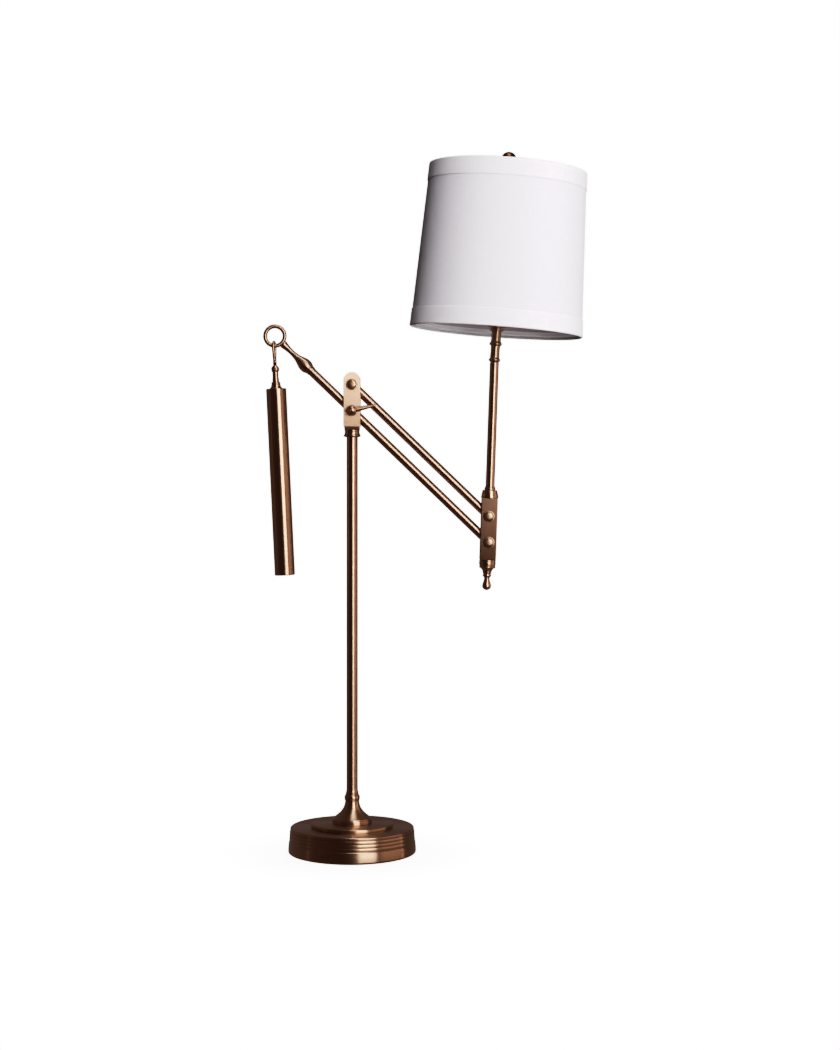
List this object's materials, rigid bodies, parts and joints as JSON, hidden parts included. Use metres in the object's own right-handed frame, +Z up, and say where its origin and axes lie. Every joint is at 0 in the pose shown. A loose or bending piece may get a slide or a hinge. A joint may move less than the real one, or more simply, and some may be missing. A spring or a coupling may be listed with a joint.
{
  "type": "swing arm desk lamp",
  "caption": "Balance-arm desk lamp in antique copper with a weighted round base, parallel arms, a hanging counterweight and a white linen drum shade.",
  "frame": {"origin": "centre of the felt pad's underside, on the column's axis, where the lamp stands", "axes": "+Z up the column, +X towards the shade at rest, +Y towards the back, where the cord enters"},
  "size_m": [0.3818, 0.2042, 0.8263],
  "materials": {
    "antique_copper": "satin",
    "dark_bronze": "satin",
    "cast_iron": "matte",
    "steel": "satin",
    "thin_metal": "satin",
    "felt": "matte",
    "linen": "matte",
    "white_wire": "satin",
    "black_plastic": "satin",
    "lead_jacket": "matte",
    "bulb_glass": "satin"
  },
  "bodies": {
    "base": {"base_shell": "antique_copper", "base_weight": "cast_iron", "felt_pad": "felt", "step_disc": "antique_copper", "column_foot": "antique_copper", "threaded_nipple": "steel", "nipple_nut": "steel", "cord_bushing": "black_plastic", "column_lead": "lead_jacket", "column_tube": "antique_copper", "column_collar": "antique_copper"},
    "column_head": {"head_block": "dark_bronze", "front_cheek": "antique_copper", "rear_cheek": "antique_copper", "upper_pivot_bolt": "antique_copper", "upper_pivot_nut": "antique_copper", "lower_pivot_bolt": "antique_copper", "lever_washer": "antique_copper"},
    "lock_lever": {"lock_lever": "antique_copper"},
    "lower_arm": {"lower_arm_hub": "antique_copper", "lower_arm_tube": "antique_copper", "lower_arm_far_eye": "antique_copper", "lower_arm_tail": "antique_copper", "arm_end_piece": "antique_copper", "arm_ring": "antique_copper", "arm_lead": "lead_jacket"},
    "upper_arm": {"upper_arm_near_eye": "antique_copper", "upper_arm_tube": "antique_copper", "upper_arm_far_eye": "antique_copper"},
    "hanging_link": {"hanging_link": "antique_copper"},
    "counterweight": {"counterweight_spindle": "antique_copper", "counterweight_sleeve": "antique_copper", "counterweight_core": "steel"},
    "shade_carrier": {"bracket_front_plate": "antique_copper", "bracket_rear_plate": "antique_copper", "bracket_top_block": "dark_bronze", "bracket_bottom_block": "dark_bronze", "bracket_upper_bolt": "antique_copper", "bracket_upper_nut": "antique_copper", "bracket_lower_bolt": "antique_copper", "bracket_lower_nut": "antique_copper", "stem_collar": "antique_copper", "stem_tube": "antique_copper", "bottom_finial": "antique_copper", "stem_lead": "lead_jacket", "lampholder_neck": "antique_copper", "harp_saddle": "steel", "socket_cap": "dark_bronze", "socket_shell": "dark_bronze", "bulb_base": "thin_metal", "bulb_glass": "bulb_glass", "harp": "steel", "shade_cover": "linen", "shade_bottom_trim": "linen", "shade_top_trim": "linen", "shade_bottom_ring": "white_wire", "shade_spider": "white_wire", "shade_finial": "dark_bronze"},
    "switch_key": {"switch_key": "black_plastic"}
  },
  "joints": [
    {"name": "column_swivel", "type": "hinge", "parent": "base", "child": "column_head", "pos_m": [0, 0, 0.4986], "axis": [0, 0, 1], "range_deg": [-160, 160]},
    {"name": "arm_lift", "type": "hinge", "parent": "column_head", "child": "lower_arm", "pos_m": [0, 0, 0.5213], "axis": [0, -1, 0], "range_deg": [-5, 80]},
    {"name": "upper_arm_pivot", "type": "hinge", "parent": "column_head", "child": "upper_arm", "pos_m": [0, 0, 0.552], "axis": [0, -1, 0], "range_deg": [-5, 80]},
    {"name": "shade_level", "type": "hinge", "parent": "lower_arm", "child": "shade_carrier", "pos_m": [0.16087, 0, 0.36622], "axis": [0, -1, 0], "range_deg": [-80, 5]},
    {"name": "link_hang", "type": "hinge", "parent": "lower_arm", "child": "hanging_link", "pos_m": [-0.09115, 0, 0.60917], "axis": [0, -1, 0], "range_deg": [-80, 5]},
    {"name": "weight_swing", "type": "hinge", "parent": "hanging_link", "child": "counterweight", "pos_m": [-0.0908, 0, 0.5702], "axis": [0, -1, 0], "range_deg": [-10, 10]},
    {"name": "lever_turn", "type": "hinge", "parent": "column_head", "child": "lock_lever", "pos_m": [0, -0.0146, 0.5213], "axis": [0, -1, 0], "range_deg": [-90, 45]},
    {"name": "switch_turn", "type": "hinge", "parent": "shade_carrier", "child": "switch_key", "pos_m": [0.17248, -0.026, 0.64284], "axis": [0, -1, 0], "continuous": true}
  ],
  "couplings": [
    {"joint": "upper_arm_pivot", "follows": "arm_lift", "ratio": 1},
    {"joint": "shade_level", "follows": "arm_lift", "ratio": -1},
    {"joint": "link_hang", "follows": "arm_lift", "ratio": -1}
  ]
}
